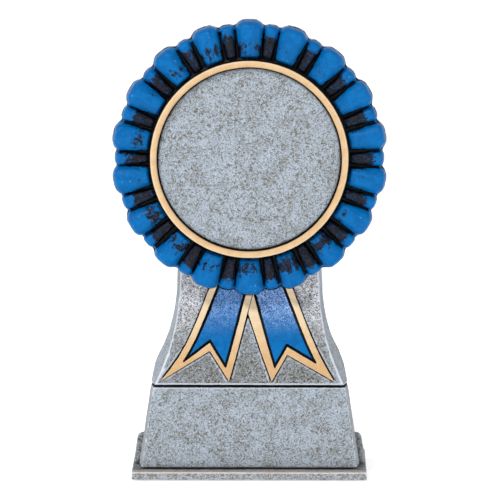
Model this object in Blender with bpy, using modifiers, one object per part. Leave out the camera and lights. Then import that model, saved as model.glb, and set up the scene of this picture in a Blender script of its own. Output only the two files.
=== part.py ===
"""Award ribbon: a cast resin rosette with two ribbon tails, carried by a swept column on a stepped base.

Metres, +Z up, the front faces -Y, the origin is under the middle of the base, on the surface it stands on.
The castings are bonded: each rests on the next with a thin bond line, and is held by a rebate, a pocket,
a tenon or dowels. One bolt from below pulls the column down onto the base.
"""

import math
from collections import namedtuple

import bmesh
import bpy
from mathutils import Matrix

MM = 0.001

# Fits
BOND_GAP = 0.3 * MM  # bond line, and the clearance round every part that sits in another
SEAM = 0.6 * MM  # open line between the block and the column

# Base
FELT_THICKNESS = 1.0 * MM
FELT_PROUD = 0.4 * MM  # how far the felt stands below the foot plate
FELT_MARGIN = 4.0 * MM
FOOT_WIDTH = 82.0 * MM
FOOT_DEPTH = 46.0 * MM
FOOT_THICKNESS = 3.0 * MM
PLINTH_SIDE_LEAN = 1.5 * MM  # how far each side draws in from foot to top
PLINTH_SETBACK = 8.0 * MM  # from the block's front to the plinth's
PLINTH_REVEAL_BACK = 5.0 * MM  # foot plate that shows behind the plinth
PLINTH_FRONT_HEIGHT = 11.2 * MM
PLINTH_WEATHERING = 4.6 * MM  # fall of the plinth's top from front to back
PLINTH_EDGE_RADIUS = 1.5 * MM

# Name block, the tapered block with the flat front
BLOCK_HEIGHT = 28.1 * MM
LEDGE_SIDE = 3.3 * MM  # foot plate that shows beside the block
LEDGE_FRONT = 6.0 * MM
LEDGE_BACK = 9.0 * MM
BLOCK_SIDE_TAPER = 4.2 * MM  # how far each side draws in from foot to top
BLOCK_FRONT_TAPER = 1.8 * MM
BLOCK_BACK_TAPER = 1.0 * MM
BLOCK_SIDE_BULGE = 1.0 * MM  # how much wider the block is behind its front edges
SIDE_SETBACK = 7.0 * MM  # from a front edge back to the widest line of the side
SIDE_DRAFT = 1.0 * MM  # how far a side draws in again from there to the back

# Column
NECK_ABOVE_ROSETTE_FOOT = 6.7 * MM  # how far above the lowest pleat the column's flare ends
SWEEP_START = 10.5 * MM  # height above the column's foot where the face begins to sweep back
SWEEP_SHARE = 0.8  # part of a full ease curve that the sweep follows before it meets the upright neck
COLUMN_SETBACK = 0.6 * MM  # from the block's front to the column's
NECK_SETBACK_SHARE = 0.348  # of the depth of the column's foot, how far back the neck's front stands
BACK_LEAN_SHARE = 0.181  # of the same depth, how far forward the back comes from foot to top
SHOULDER_HEIGHT = 8.0 * MM
SHOULDER_DRAFT = 1.6 * MM  # how far the sides draw in from the foot up to the shoulder
NECK_SHARE = 0.732  # half width of the neck's face, of that of the column's foot
NECK_SIDE_BULGE = 1.2 * MM
FACE_FLARE_POWER = 2.2
SIDE_FLARE_POWER = 2.4
ARCH_SHARE = 0.8  # radius of the column's round top, of the neck's half width
TENON_HALF_WIDTH = 15.0 * MM
TENON_HALF_DEPTH = 7.5 * MM
TENON_LENGTH = 8.0 * MM

# Ribbon tails
TAIL_POCKET_DEPTH = 0.8 * MM
TRIM_PROUD = 1.3 * MM  # trim above the column's face
FIELD_PROUD = 0.9 * MM
FIELD_GROOVE = 0.7 * MM  # line between the field and its trim
TRIM_OUTER_WIDTH = 2.5 * MM
TRIM_INNER_WIDTH = 2.4 * MM
TRIM_NOTCH_WIDTH = 2.9 * MM
WINDOW_OUTER_RISE = 6.2 * MM  # from a trim's outer tip up to the field's
WINDOW_INNER_RISE = 4.6 * MM
TAIL_TIP_RISE = 1.5 * MM  # from the column's foot up to the tips
TAIL_TUCK = 5.0 * MM  # how far a tail's outline is drawn on behind the rosette, which cuts it off

# Rosette
ROSETTE_RISE = 31.3 * MM  # from the column's foot up to the lowest pleat
PLEAT_COUNT = 18
BIG_PLEAT_RADIUS = 47.9 * MM
SMALL_PLEAT_DROP = 1.2 * MM  # how far the small pleats and the gaps stay inside the big ones' circle
PLEAT_GAP_DROP = 2.0 * MM
BACKING_THICKNESS = 2.7 * MM
BACKING_RIM = 0.3 * MM  # how far the backing shows round the pleats
PLEAT_FLANGE = 2.5 * MM  # thickness of the pleat ring's rim under the bezel
BEZEL_LAP = 1.4 * MM  # how far the bezel reaches over that rim
BIG_CREST = 6.4 * MM  # pleat heights above the ring's back
SMALL_CREST = 4.2 * MM
GAP_FLOOR = 1.3 * MM
BIG_PLEAT_SHARE = 0.6  # of one pitch, the rest being a small pleat and two gaps
SMALL_PLEAT_SHARE = 0.31
INSERT_RADIUS = 31.75 * MM  # a standard 2 1/2 inch disc
DISC_THICKNESS = 2.3 * MM
BEZEL_WIDTH = 2.35 * MM
BEZEL_HEIGHT = 4.3 * MM
BEZEL_ROUND = 0.9 * MM

# Hardware
DOWEL_RADIUS = 2.0 * MM
DOWEL_IN_BACKING = 4.0 * MM
DOWEL_SHARE = 0.54  # how deep a dowel goes into the column, of the column's thickness at its top
DOWEL_SPACING = 24.0 * MM
BOLT_RADIUS = 2.5 * MM
BOLT_HEAD_RADIUS = 4.7 * MM
BOLT_HEAD_HEIGHT = 3.0 * MM
WASHER_RADIUS = 5.0 * MM
WASHER_THICKNESS = 1.0 * MM
INSERT_NUT_RADIUS = 4.0 * MM
INSERT_NUT_LENGTH = 8.0 * MM
BOLT_IN_NUT = 7.0 * MM
COUNTERBORE_DEPTH = 4.6 * MM  # into the plinth, from its underside

# Levels and places that follow from the sizes above
FOOT_Z = FELT_PROUD
FOOT_TOP_Z = FOOT_Z + FOOT_THICKNESS
PLINTH_Z = FOOT_TOP_Z + BOND_GAP
PLINTH_BACK_Y = FOOT_DEPTH / 2 - PLINTH_REVEAL_BACK
PLINTH_FOOT_HALF = FOOT_WIDTH / 2 - BOND_GAP
BLOCK_Z = FOOT_TOP_Z + BOND_GAP
BLOCK_TOP_Z = BLOCK_Z + BLOCK_HEIGHT
BLOCK_FOOT_HALF = FOOT_WIDTH / 2 - LEDGE_SIDE
BLOCK_TOP_HALF = BLOCK_FOOT_HALF - BLOCK_SIDE_TAPER
BLOCK_FOOT_FRONT_Y = LEDGE_FRONT - FOOT_DEPTH / 2
BLOCK_TOP_FRONT_Y = BLOCK_FOOT_FRONT_Y + BLOCK_FRONT_TAPER
BLOCK_FOOT_BACK_Y = FOOT_DEPTH / 2 - LEDGE_BACK
BLOCK_TOP_BACK_Y = BLOCK_FOOT_BACK_Y - BLOCK_BACK_TAPER
PLINTH_FRONT_Y = BLOCK_FOOT_FRONT_Y + PLINTH_SETBACK
COLUMN_Z = BLOCK_TOP_Z + SEAM
NECK_HEIGHT = ROSETTE_RISE + NECK_ABOVE_ROSETTE_FOOT
NECK_Z = COLUMN_Z + NECK_HEIGHT
SWEEP_END = ROSETTE_RISE - BACKING_RIM - BOND_GAP
COLUMN_FOOT_Y = BLOCK_TOP_FRONT_Y + COLUMN_SETBACK
COLUMN_BACK_FOOT_Y = BLOCK_TOP_BACK_Y
COLUMN_FOOT_DEPTH = COLUMN_BACK_FOOT_Y - COLUMN_FOOT_Y
COLUMN_BACK_TOP_Y = COLUMN_BACK_FOOT_Y - BACK_LEAN_SHARE * COLUMN_FOOT_DEPTH
NECK_FRONT_Y = COLUMN_FOOT_Y + NECK_SETBACK_SHARE * COLUMN_FOOT_DEPTH
COLUMN_FOOT_FACE_HALF = BLOCK_TOP_HALF - BOND_GAP
COLUMN_FOOT_SIDE_HALF = BLOCK_TOP_HALF + BLOCK_SIDE_BULGE
SHOULDER_HALF = COLUMN_FOOT_SIDE_HALF - SHOULDER_DRAFT
NECK_FACE_HALF = NECK_SHARE * COLUMN_FOOT_FACE_HALF
NECK_SIDE_HALF = NECK_FACE_HALF + NECK_SIDE_BULGE
ARCH_RADIUS = ARCH_SHARE * NECK_SIDE_HALF
DOWEL_IN_COLUMN = DOWEL_SHARE * (COLUMN_BACK_TOP_Y - NECK_FRONT_Y)
SMALL_PLEAT_RADIUS = BIG_PLEAT_RADIUS - SMALL_PLEAT_DROP
PLEAT_GAP_RADIUS = BIG_PLEAT_RADIUS - PLEAT_GAP_DROP
CENTRE_Z = COLUMN_Z + ROSETTE_RISE + BIG_PLEAT_RADIUS
BACKING_BACK_Y = NECK_FRONT_Y - BOND_GAP
BACKING_FRONT_Y = BACKING_BACK_Y - BACKING_THICKNESS
RING_BACK_Y = BACKING_FRONT_Y - BOND_GAP
FLANGE_Y = RING_BACK_Y - PLEAT_FLANGE
BEZEL_BACK_Y = FLANGE_Y - BOND_GAP
BEZEL_INNER = INSERT_RADIUS + BOND_GAP
BEZEL_OUTER = BEZEL_INNER + BEZEL_WIDTH
PLEAT_RING_BORE = BEZEL_OUTER - BEZEL_LAP
HUB_RADIUS = PLEAT_RING_BORE - BOND_GAP
FLANGE_EDGE = BEZEL_OUTER + BOND_GAP
PLEAT_INNER = FLANGE_EDGE + BOND_GAP
TENON_FOOT_Z = COLUMN_Z - TENON_LENGTH
COUNTERBORE_Z = PLINTH_Z + COUNTERBORE_DEPTH
CLEAR_RADIUS = BOLT_RADIUS + BOND_GAP
BOLT_HOLE_RADIUS = WASHER_RADIUS + 2 * BOND_GAP
TAIL_TOP_Z = COLUMN_Z + ROSETTE_RISE + TAIL_TUCK

ROUND_STEPS = 64
SMALL_ROUND_STEPS = 24
FAR = 100 * MM  # longer than any wall, for cutters

# Seen from the front: the left tail lies over the right one where they meet, and the two differ a little.
# Places across the column are shares of the half width of its foot, measured towards the tail's own side.
Tail = namedtuple("Tail", "side top_outer tip_outer curl edge_top field_top tip_inner notch_x notch_rise")
TAILS = {
    "left": Tail(-1, 0.3825, 0.94, 0.25, -0.0783, -0.0783, 0.2108, 0.4127, 12.3 * MM),
    "right": Tail(1, 0.4127, 0.8946, 0.12, -0.1416, -0.0783, 0.2349, 0.3976, 11.0 * MM),
}

LIE_IN_XZ = Matrix(((1, 0, 0, 0), (0, 0, -1, 0), (0, 1, 0, 0), (0, 0, 0, 1)))  # outline in x and z
LIE_IN_YZ = Matrix(((0, 0, 1, 0), (1, 0, 0, 0), (0, 1, 0, 0), (0, 0, 0, 1)))  # outline in y and z


# ---------------------------------------------------------------- scene and helpers


def clear_scene():
    for obj in list(bpy.data.objects):
        bpy.data.objects.remove(obj)


def new_collection(name):
    collection = bpy.data.collections.new(name)
    bpy.context.scene.collection.children.link(collection)
    return collection


def make_material(name, colour, roughness, metallic=0.0):
    material = bpy.data.materials.new(name)
    material.use_nodes = True
    shader = material.node_tree.nodes["Principled BSDF"]
    shader.inputs["Base Color"].default_value = (*colour, 1.0)
    shader.inputs["Roughness"].default_value = roughness
    shader.inputs["Metallic"].default_value = metallic
    return material


def add_object(name, mesh, material):
    obj = bpy.data.objects.new(name, mesh)
    if material is None:
        obj.hide_render = True
        obj.display_type = "WIRE"
        CUTTERS.objects.link(obj)
    else:
        mesh.materials.clear()
        mesh.materials.append(material)
        AWARD.objects.link(obj)
    return obj


def mesh_from_bmesh(name, bm):
    bmesh.ops.recalc_face_normals(bm, faces=bm.faces)
    mesh = bpy.data.meshes.new(name)
    bm.to_mesh(mesh)
    bm.free()
    return mesh


def prism(name, outlines, start, end, lie, material=None):
    """Flat outlines, the later ones being holes, drawn out from start to end along the third axis."""
    curve = bpy.data.curves.new(name, "CURVE")
    curve.dimensions = "2D"
    curve.fill_mode = "BOTH"
    curve.extrude = (end - start) / 2
    for outline in outlines:
        spline = curve.splines.new("POLY")
        spline.points.add(len(outline) - 1)
        for point, (a, b) in zip(spline.points, outline):
            point.co = (a, b, 0, 1)
        spline.use_cyclic_u = True
    drawn = bpy.data.objects.new(name + "_outline", curve)
    bpy.context.scene.collection.objects.link(drawn)
    graph = bpy.context.evaluated_depsgraph_get()
    mesh = bpy.data.meshes.new_from_object(drawn.evaluated_get(graph))
    bpy.data.objects.remove(drawn)
    bpy.data.curves.remove(curve)
    bm = bmesh.new()
    bm.from_mesh(mesh)
    bmesh.ops.remove_doubles(bm, verts=bm.verts, dist=1e-6)
    bmesh.ops.translate(bm, verts=bm.verts, vec=(0, 0, (start + end) / 2))
    bmesh.ops.transform(bm, matrix=lie, verts=bm.verts)
    bpy.data.meshes.remove(mesh)
    return add_object(name, mesh_from_bmesh(name, bm), material)


def face_prism(name, outlines, front_y, back_y, material=None):
    """A prism of outlines drawn on the front, in x and z."""
    return prism(name, outlines, -back_y, -front_y, LIE_IN_XZ, material)


def cylinder(name, radius, start, end, axis="Z", at=(0.0, 0.0), steps=SMALL_ROUND_STEPS, material=None):
    """A round bar from start to end along Z, with at as its x and y, or along Y, with at as its x and z."""
    bm = bmesh.new()
    bmesh.ops.create_cone(
        bm, cap_ends=True, segments=steps, radius1=radius, radius2=radius, depth=end - start
    )
    bmesh.ops.translate(bm, verts=bm.verts, vec=(0, 0, (start + end) / 2))
    if axis == "Y":
        bmesh.ops.transform(bm, matrix=Matrix.Rotation(-math.pi / 2, 4, "X"), verts=bm.verts)
        bmesh.ops.translate(bm, verts=bm.verts, vec=(at[0], 0, at[1]))
    else:
        bmesh.ops.translate(bm, verts=bm.verts, vec=(at[0], at[1], 0))
    return add_object(name, mesh_from_bmesh(name, bm), material)


def box(name, low, high, material=None):
    bm = bmesh.new()
    bmesh.ops.create_cube(bm, size=1)
    size = [h - l for l, h in zip(low, high)]
    middle = [(h + l) / 2 for l, h in zip(low, high)]
    bmesh.ops.scale(bm, vec=size, verts=bm.verts)
    bmesh.ops.translate(bm, verts=bm.verts, vec=middle)
    return add_object(name, mesh_from_bmesh(name, bm), material)


def loft(name, sections, material, closed=False):
    """Skins sections of equal length: capped at both ends, or joined into a ring."""
    bm = bmesh.new()
    rings = [[bm.verts.new(point) for point in section] for section in sections]
    count = len(sections[0])
    pairs = list(zip(rings, rings[1:])) + ([(rings[-1], rings[0])] if closed else [])
    for lower, upper in pairs:
        for i in range(count):
            j = (i + 1) % count
            bm.faces.new((lower[i], lower[j], upper[j], upper[i]))
    if not closed:
        bm.faces.new(rings[0])
        bm.faces.new(rings[-1])
    return add_object(name, mesh_from_bmesh(name, bm), material)


def boolean(obj, other, operation="DIFFERENCE", solver="EXACT"):
    modifier = obj.modifiers.new(operation.title() + "_" + other.name, "BOOLEAN")
    modifier.operation = operation
    modifier.solver = solver
    modifier.object = other


def soften(obj, width, segments=2):
    """Rounds the sharp edges of obj. It comes before any Boolean."""
    modifier = obj.modifiers.new("Rounded_edges", "BEVEL")
    modifier.width = width
    modifier.segments = segments
    modifier.limit_method = "ANGLE"
    modifier.angle_limit = math.radians(40)


def smooth_round(obj):
    obj.data.shade_smooth()
    obj.data.set_sharp_from_angle(angle=math.radians(35))


def offset_outline(outline, distance, longest=3.0):
    """The outline moved outwards by distance, or inwards if it is negative; sharp corners are cut short."""
    area = sum(a[0] * b[1] - b[0] * a[1] for a, b in zip(outline, outline[1:] + outline[:1]))
    turn = 1 if area > 0 else -1
    moved = []
    for before, here, after in zip(outline[-1:] + outline[:-1], outline, outline[1:] + outline[:1]):
        normals = []
        for a, b in ((before, here), (here, after)):
            dx, dz = b[0] - a[0], b[1] - a[1]
            length = math.hypot(dx, dz)
            normals.append((turn * dz / length, -turn * dx / length))
        mx, mz = normals[0][0] + normals[1][0], normals[0][1] + normals[1][1]
        squared = max(mx * mx + mz * mz, 1e-9)
        reach = 2 * distance / squared
        step = math.hypot(mx, mz) * abs(reach)
        if distance > 0:
            reach *= min(1.0, longest * distance / step)
        moved.append((here[0] + mx * reach, here[1] + mz * reach))
    return moved


# ---------------------------------------------------------------- shapes that several parts share


def ease(t):
    """0 to 1 with level ends."""
    t = min(1.0, max(0.0, t))
    return t * t * (3 - 2 * t)


def face_y(z):
    """Front face of the column: upright at its foot, then sweeping back to the neck."""
    swept = min(1.0, (z - COLUMN_Z - SWEEP_START) / (SWEEP_END - SWEEP_START))
    return COLUMN_FOOT_Y + (NECK_FRONT_Y - COLUMN_FOOT_Y) * ease(swept * SWEEP_SHARE) / ease(SWEEP_SHARE)


def face_half(z):
    """Half width of the column's front face."""
    left = max(0.0, 1 - (z - COLUMN_Z) / NECK_HEIGHT)
    return NECK_FACE_HALF + (COLUMN_FOOT_FACE_HALF - NECK_FACE_HALF) * left**FACE_FLARE_POWER


def side_half(z):
    """Half width of the column at the widest line of its sides."""
    shoulder_z = COLUMN_Z + SHOULDER_HEIGHT
    if z <= shoulder_z:
        up = (z - COLUMN_Z) / SHOULDER_HEIGHT
        return COLUMN_FOOT_SIDE_HALF + (SHOULDER_HALF - COLUMN_FOOT_SIDE_HALF) * up
    left = max(0.0, 1 - (z - shoulder_z) / (NECK_Z - shoulder_z))
    return NECK_SIDE_HALF + (SHOULDER_HALF - NECK_SIDE_HALF) * left**SIDE_FLARE_POWER


def band(name, front, back, low_z, high_z):
    """A slab right across the column that follows its front face, from front to back behind that face."""
    steps = 14
    levels = [low_z + (high_z - low_z) * i / steps for i in range(steps + 1)]
    outline = [(face_y(z) + front, z) for z in levels]
    outline += [(face_y(z) + back, z) for z in reversed(levels)]
    return prism(name, [outline], -FAR, FAR, LIE_IN_YZ)


def pleat_phase(angle):
    """Place within one pitch, -0.5 to 0.5, where 0 is the middle of a big pleat."""
    turns = angle * PLEAT_COUNT / (2 * math.pi)
    return turns - math.floor(turns + 0.5)


def pleat_edge(phase):
    """Outer radius of the pleats: a wide dome on each big pleat and a lower one on each small pleat."""
    off_big = abs(phase) / (BIG_PLEAT_SHARE / 2)
    off_small = (0.5 - abs(phase)) / (SMALL_PLEAT_SHARE / 2)
    if off_big < 1:
        return BIG_PLEAT_RADIUS - (BIG_PLEAT_RADIUS - PLEAT_GAP_RADIUS) * off_big**4
    if off_small < 1:
        return SMALL_PLEAT_RADIUS - (SMALL_PLEAT_RADIUS - PLEAT_GAP_RADIUS) * off_small**4
    return PLEAT_GAP_RADIUS


def pleat_crest(phase):
    """Height of the pleats above the ring's back, at their fullest radius."""
    off_big = abs(phase) / (BIG_PLEAT_SHARE / 2)
    off_small = (0.5 - abs(phase)) / (SMALL_PLEAT_SHARE / 2)
    if off_big <= 1:
        return GAP_FLOOR + (BIG_CREST - GAP_FLOOR) * math.sqrt(1 - 0.55 * off_big**4)
    if off_small <= 1:
        return GAP_FLOOR + (SMALL_CREST - GAP_FLOOR) * math.sqrt(1 - 0.55 * off_small**4)
    return GAP_FLOOR


def pleat_swell(share):
    """Fullness of a pleat from its inner end (0) to its edge (1): it rises from the bezel and rolls over."""
    rise = 0.7 + 0.3 * math.sin(math.pi / 2 * min(1.0, share / 0.6))
    fall = math.sqrt(max(0.0, 1 - max(0.0, (share - 0.7) / 0.3) ** 2))
    return rise * (0.12 + 0.88 * fall)


def backing_outline(clearance=0.0):
    steps = PLEAT_COUNT * 12
    outline = []
    for i in range(steps):
        angle = 2 * math.pi * i / steps
        radius = pleat_edge(pleat_phase(angle)) + BACKING_RIM + clearance
        outline.append((radius * math.sin(angle), CENTRE_Z + radius * math.cos(angle)))
    return outline


def on_rosette(radius, angle, y):
    """A point of the rosette: angle 0 is straight up, and it grows towards +X."""
    return (radius * math.sin(angle), y, CENTRE_Z + radius * math.cos(angle))


# ---------------------------------------------------------------- base


def build_felt_pad():
    half_width = FOOT_WIDTH / 2 - FELT_MARGIN
    half_depth = FOOT_DEPTH / 2 - FELT_MARGIN
    box("felt_pad", (-half_width, -half_depth, 0), (half_width, half_depth, FELT_THICKNESS), FELT)


def build_foot_plate():
    low = (-FOOT_WIDTH / 2, -FOOT_DEPTH / 2, FOOT_Z)
    high = (FOOT_WIDTH / 2, FOOT_DEPTH / 2, FOOT_TOP_Z)
    plate = box("foot_plate", low, high, STONE)
    soften(plate, 0.4 * MM)
    inset = FELT_MARGIN - BOND_GAP
    recess_top = FELT_THICKNESS + BOND_GAP
    recess = box(
        "foot_recess_cut",
        (low[0] + inset, low[1] + inset, FOOT_Z - FELT_THICKNESS),
        (high[0] - inset, high[1] - inset, recess_top),
    )
    boolean(plate, recess)
    boolean(plate, cylinder("foot_hole_cut", BOLT_HOLE_RADIUS, -FAR, FAR))


def plinth_sections(grow=0.0):
    """Front and back faces of the plinth, whose sides lean in and whose top falls to the back."""
    sections = []
    for y, top in (
        (PLINTH_FRONT_Y - grow, PLINTH_FRONT_HEIGHT),
        (PLINTH_BACK_Y + grow, PLINTH_FRONT_HEIGHT - PLINTH_WEATHERING),
    ):
        foot_half = PLINTH_FOOT_HALF + grow
        top_half = foot_half - PLINTH_SIDE_LEAN
        foot_z = PLINTH_Z - grow
        top_z = PLINTH_Z + top + grow
        foot = [(-foot_half, y, foot_z), (foot_half, y, foot_z)]
        sections.append(foot + [(top_half, y, top_z), (-top_half, y, top_z)])
    return sections


def build_rear_plinth():
    plinth = loft("rear_plinth", plinth_sections(), STONE)
    soften(plinth, PLINTH_EDGE_RADIUS, 3)
    boolean(plinth, cylinder("plinth_hole_cut", CLEAR_RADIUS, -FAR, FAR))
    boolean(plinth, cylinder("plinth_counterbore_cut", BOLT_HOLE_RADIUS, -FAR, COUNTERBORE_Z))


def body_section(z, front_half, side_half_width, front_y, back_y):
    """A level section: flat front, and sides that bulge to their widest line and then draw in."""
    side_y = front_y + SIDE_SETBACK
    back_half = side_half_width - SIDE_DRAFT
    right = [(front_half, front_y, z), (side_half_width, side_y, z), (back_half, back_y, z)]
    return right + [(-x, y, level) for x, y, level in reversed(right)]


def build_nameplate_block():
    sections = []
    for z, half, front_y, back_y in (
        (BLOCK_Z, BLOCK_FOOT_HALF, BLOCK_FOOT_FRONT_Y, BLOCK_FOOT_BACK_Y),
        (BLOCK_TOP_Z, BLOCK_TOP_HALF, BLOCK_TOP_FRONT_Y, BLOCK_TOP_BACK_Y),
    ):
        sections.append(body_section(z, half, half + BLOCK_SIDE_BULGE, front_y, back_y))
    block = loft("nameplate_block", sections, STONE)
    soften(block, 0.5 * MM)
    boolean(block, loft("block_rebate_cut", plinth_sections(BOND_GAP), None))
    mortise = box(
        "block_mortise_cut",
        (-TENON_HALF_WIDTH - BOND_GAP, -TENON_HALF_DEPTH - BOND_GAP, TENON_FOOT_Z - BOND_GAP),
        (TENON_HALF_WIDTH + BOND_GAP, TENON_HALF_DEPTH + BOND_GAP, BLOCK_TOP_Z + FAR),
    )
    boolean(block, mortise)
    boolean(block, cylinder("block_hole_cut", CLEAR_RADIUS, -FAR, FAR))


# ---------------------------------------------------------------- column and tails


def column_levels():
    """Heights of the column's sections: close together where the neck flares, then up to the arch."""
    levels = [COLUMN_Z + SWEEP_END * i / 14 for i in range(15)]
    levels.append(NECK_Z)
    levels.append((NECK_Z + CENTRE_Z) / 2)
    levels += [CENTRE_Z + ARCH_RADIUS * math.sin(math.pi / 2 * i / 7) for i in range(7)]
    return levels


def upper_half(z):
    """Half width above the neck: it narrows to the arch's radius, and then follows the arch."""
    if z <= CENTRE_Z:
        up = (z - NECK_Z) / (CENTRE_Z - NECK_Z)
        return NECK_SIDE_HALF + (ARCH_RADIUS - NECK_SIDE_HALF) * up
    return math.sqrt(max(0.0, ARCH_RADIUS**2 - (z - CENTRE_Z) ** 2))


def build_column():
    sections = []
    for z in column_levels():
        up = (z - COLUMN_Z) / (CENTRE_Z + ARCH_RADIUS - COLUMN_Z)
        back_y = COLUMN_BACK_FOOT_Y + (COLUMN_BACK_TOP_Y - COLUMN_BACK_FOOT_Y) * up
        if z <= NECK_Z:
            sections.append(body_section(z, face_half(z), side_half(z), face_y(z), back_y))
        else:
            edge = (NECK_SIDE_HALF - NECK_FACE_HALF) * upper_half(z) / NECK_SIDE_HALF
            sections.append(body_section(z, upper_half(z) - edge, upper_half(z), face_y(z), back_y))
    column = loft("column", sections, STONE)
    tenon = box(
        "column_tenon",
        (-TENON_HALF_WIDTH, -TENON_HALF_DEPTH, TENON_FOOT_Z),
        (TENON_HALF_WIDTH, TENON_HALF_DEPTH, COLUMN_Z + 2 * MM),
    )
    boolean(column, tenon, "UNION")
    nut_radius = INSERT_NUT_RADIUS + BOND_GAP
    nut_end = TENON_FOOT_Z + INSERT_NUT_LENGTH + 2 * BOND_GAP
    boolean(column, cylinder("column_nut_cut", nut_radius, TENON_FOOT_Z - FAR, nut_end))
    for name, z in dowel_heights().items():
        hole = cylinder(
            f"column_{name}_cut",
            DOWEL_RADIUS + BOND_GAP,
            NECK_FRONT_Y - FAR,
            NECK_FRONT_Y + DOWEL_IN_COLUMN + BOND_GAP,
            "Y",
            (0, z),
        )
        boolean(column, hole)
    for side, tail in TAILS.items():
        pocket_outline = offset_outline(tail_outline(tail), BOND_GAP)
        pocket = face_prism(f"column_pocket_{side}_cut", [pocket_outline], -FAR, FAR)
        depth = band(f"column_pocket_{side}_band", -FAR, TAIL_POCKET_DEPTH, COLUMN_Z, TAIL_TOP_Z + 2 * MM)
        boolean(pocket, depth, "INTERSECT")
        boolean(column, pocket)


def tail_x(tail, share):
    return tail.side * share * COLUMN_FOOT_FACE_HALF


def tail_outer_share(tail, z):
    """The outer edge of a tail spreads evenly and then curls further out towards its tip."""
    down = (TAIL_TOP_Z - z) / (TAIL_TOP_Z - COLUMN_Z - TAIL_TIP_RISE)
    spread = (1 - tail.curl) * down + tail.curl * down**4
    return tail.top_outer + (tail.tip_outer - tail.top_outer) * spread


def tail_outline(tail):
    """Outside of a tail's trim: outer edge, outer tip, notch, inner tip and inner edge."""
    tip_z = COLUMN_Z + TAIL_TIP_RISE
    steps = 8
    points = []
    for i in range(steps + 1):
        z = TAIL_TOP_Z + (tip_z - TAIL_TOP_Z) * i / steps
        points.append((tail_x(tail, tail_outer_share(tail, z)), z))
    points.append((tail_x(tail, tail.notch_x), COLUMN_Z + tail.notch_rise))
    points.append((tail_x(tail, tail.tip_inner), tip_z))
    points.append((tail_x(tail, tail.edge_top), TAIL_TOP_Z))
    return points


def window_outline(tail):
    """Inside of a tail's trim, open at the top so that trim and field both run up under the rosette."""
    tip_z = COLUMN_Z + TAIL_TIP_RISE
    low_z = tip_z + WINDOW_OUTER_RISE
    top_z = TAIL_TOP_Z + 4 * MM
    steps = 7
    points = []
    for i in range(steps + 1):
        z = TAIL_TOP_Z + (low_z - TAIL_TOP_Z) * i / steps
        points.append((tail_x(tail, tail_outer_share(tail, z)) - tail.side * TRIM_OUTER_WIDTH, z))
    points.insert(0, (points[0][0], top_z))
    points.append((tail_x(tail, tail.notch_x), COLUMN_Z + tail.notch_rise + TRIM_NOTCH_WIDTH))
    inner_low_z = tip_z + WINDOW_INNER_RISE
    lean = (tail.field_top - tail.tip_inner) / (TAIL_TOP_Z - tip_z)
    for z in (inner_low_z, top_z):
        share = tail.tip_inner + lean * (z - tip_z)
        points.append((tail_x(tail, share) + tail.side * TRIM_INNER_WIDTH, z))
    return points


def build_tails():
    under_rosette = face_prism("tail_rosette_cut", [backing_outline(BOND_GAP)], -FAR, FAR)
    back = TAIL_POCKET_DEPTH - BOND_GAP
    trim_band = band("tail_trim_band", -TRIM_PROUD, back, COLUMN_Z, TAIL_TOP_Z + 1 * MM)
    field_band = band("tail_field_band", -FIELD_PROUD, back, COLUMN_Z, TAIL_TOP_Z + 1 * MM)
    over_left = offset_outline(tail_outline(TAILS["left"]), BOND_GAP)
    left_tail_space = face_prism("tail_left_space_cut", [over_left], -FAR, FAR)
    for side, tail in TAILS.items():
        window = face_prism(f"tail_trim_{side}_window_cut", [window_outline(tail)], -FAR, FAR)
        trim = face_prism(f"tail_trim_{side}", [tail_outline(tail)], COLUMN_FOOT_Y - 5 * MM, 0, GOLD)
        field_outline = offset_outline(window_outline(tail), -FIELD_GROOVE)
        field = face_prism(f"tail_{side}", [field_outline], COLUMN_FOOT_Y - 5 * MM, 0, BLUE)
        boolean(trim, window)
        boolean(trim, trim_band, "INTERSECT")
        boolean(field, field_band, "INTERSECT")
        for piece in (trim, field):
            boolean(piece, under_rosette)
            if side == "right":
                boolean(piece, left_tail_space)


# ---------------------------------------------------------------- rosette


def dowel_heights():
    half = DOWEL_SPACING / 2
    return {"dowel_upper": CENTRE_Z + half, "dowel_lower": CENTRE_Z - half}


def build_backing_disc():
    disc = face_prism("backing_disc", [backing_outline()], BACKING_FRONT_Y, BACKING_BACK_Y, STONE)
    middle = (0, CENTRE_Z)
    hub = cylinder("backing_hub", HUB_RADIUS, FLANGE_Y, BACKING_BACK_Y - 1 * MM, "Y", middle, ROUND_STEPS)
    boolean(disc, hub, "UNION", "MANIFOLD")
    for name, z in dowel_heights().items():
        deep = BACKING_BACK_Y - DOWEL_IN_BACKING - BOND_GAP
        hole = cylinder(f"backing_{name}_cut", DOWEL_RADIUS + BOND_GAP, deep, FAR, "Y", (0, z))
        boolean(disc, hole, solver="MANIFOLD")


def pleat_phases():
    """Where the ring's sections stand within one pitch: on the pleats, and at both sides of each gap."""
    big = BIG_PLEAT_SHARE / 2
    small = 0.5 - SMALL_PLEAT_SHARE / 2
    gap = small - big
    one_side = [0.6 * big, big, big + 0.3 * gap, small - 0.3 * gap, small, (small + 0.5) / 2]
    return [-0.5] + [-p for p in reversed(one_side)] + [0.0] + one_side


def build_pleat_ring():
    shares = [0.0, 0.35, 0.7, 0.9, 1.0]
    pitch = 2 * math.pi / PLEAT_COUNT
    sections = []
    for pleat in range(PLEAT_COUNT):
        for phase in pleat_phases():
            angle = (pleat + phase) * pitch
            edge = pleat_edge(phase)
            crest = pleat_crest(phase)
            section = [
                on_rosette(PLEAT_RING_BORE, angle, RING_BACK_Y),
                on_rosette(PLEAT_RING_BORE, angle, FLANGE_Y),
                on_rosette(FLANGE_EDGE, angle, FLANGE_Y),
            ]
            for share in shares:
                radius = PLEAT_INNER + (edge - PLEAT_INNER) * share
                height = 0.6 * MM + (crest - 0.6 * MM) * pleat_swell(share)
                section.append(on_rosette(radius, angle, RING_BACK_Y - height))
            section.append(on_rosette(edge, angle, RING_BACK_Y))
            sections.append(section)
    ring = loft("pleat_ring", sections, BLUE, closed=True)
    smooth_round(ring)


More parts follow.
